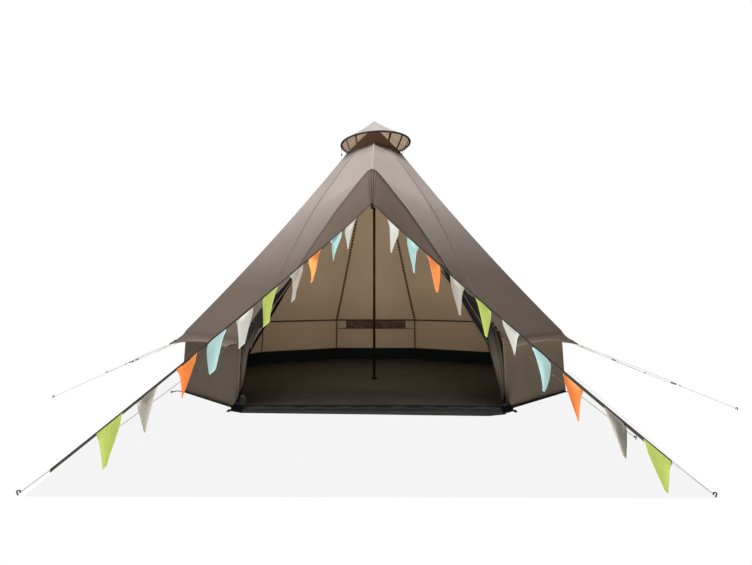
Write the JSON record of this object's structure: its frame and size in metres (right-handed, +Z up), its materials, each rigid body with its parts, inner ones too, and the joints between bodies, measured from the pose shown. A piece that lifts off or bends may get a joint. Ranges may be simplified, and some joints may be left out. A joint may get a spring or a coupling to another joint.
{
  "type": "tipi tent",
  "caption": "Pyramid-roofed tipi tent with low upright walls, a hooded door opening held by a steel frame, a vented cap, pegged guys and two strings of pennants.",
  "frame": {"origin": "on the ground under the middle of the centre pole, at the groundsheet's underside", "axes": "+Z up, -Y out through the door, +X to the right of someone who looks in at the door"},
  "size_m": [6.787, 7.245, 3.03],
  "materials": {
    "roof_canvas": "woven polyester, matt",
    "wall_canvas": "woven polyester, matt",
    "cap_canvas": "woven polyester, matt",
    "groundsheet_vinyl": "black coated sheeting with a soft sheen",
    "dark_steel": "dark enamelled tube",
    "netting": "fine dark mesh",
    "door_cloth": "woven polyester, matt",
    "guy_rope": "braided cord",
    "bunting_cloth": "cotton pennants on a dark ribbon",
    "black_plastic": "moulded"
  },
  "bodies": {
    "root": {"bathtub_wall": "groundsheet_vinyl", "bunting_left": "bunting_cloth", "bunting_right": "bunting_cloth", "cap_hoop": "black_plastic", "centre_pole": "dark_steel", "door_frame_crown": "dark_steel", "door_frame_left_leg": "dark_steel", "door_frame_right_leg": "dark_steel", "door_roll_left": "door_cloth", "door_roll_right": "door_cloth", "groundsheet": "groundsheet_vinyl", "guy_left_back": "guy_rope", "guy_left_door": "guy_rope", "guy_left_front": "guy_rope", "guy_left_rear_side": "guy_rope", "guy_left_side": "guy_rope", "guy_right_back": "guy_rope", "guy_right_door": "guy_rope", "guy_right_front": "guy_rope", "guy_right_rear_side": "guy_rope", "guy_right_side": "guy_rope", "hood_header": "roof_canvas", "hood_left": "roof_canvas", "hood_right": "roof_canvas", "hood_toggle": "black_plastic", "rear_vent": "netting", "roof_back": "roof_canvas", "roof_left_back": "roof_canvas", "roof_left_front": "roof_canvas", "roof_left_rear_side": "roof_canvas", "roof_left_side": "roof_canvas", "roof_right_back": "roof_canvas", "roof_right_front": "roof_canvas", "roof_right_rear_side": "roof_canvas", "roof_right_side": "roof_canvas", "vent_cap": "cap_canvas", "vent_collar": "netting", "wall_back": "wall_canvas", "wall_left_back": "wall_canvas", "wall_left_front": "wall_canvas", "wall_left_rear_side": "wall_canvas", "wall_left_side": "wall_canvas", "wall_right_back": "wall_canvas", "wall_right_front": "wall_canvas", "wall_right_rear_side": "wall_canvas", "wall_right_side": "wall_canvas"}
  },
  "joints": []
}
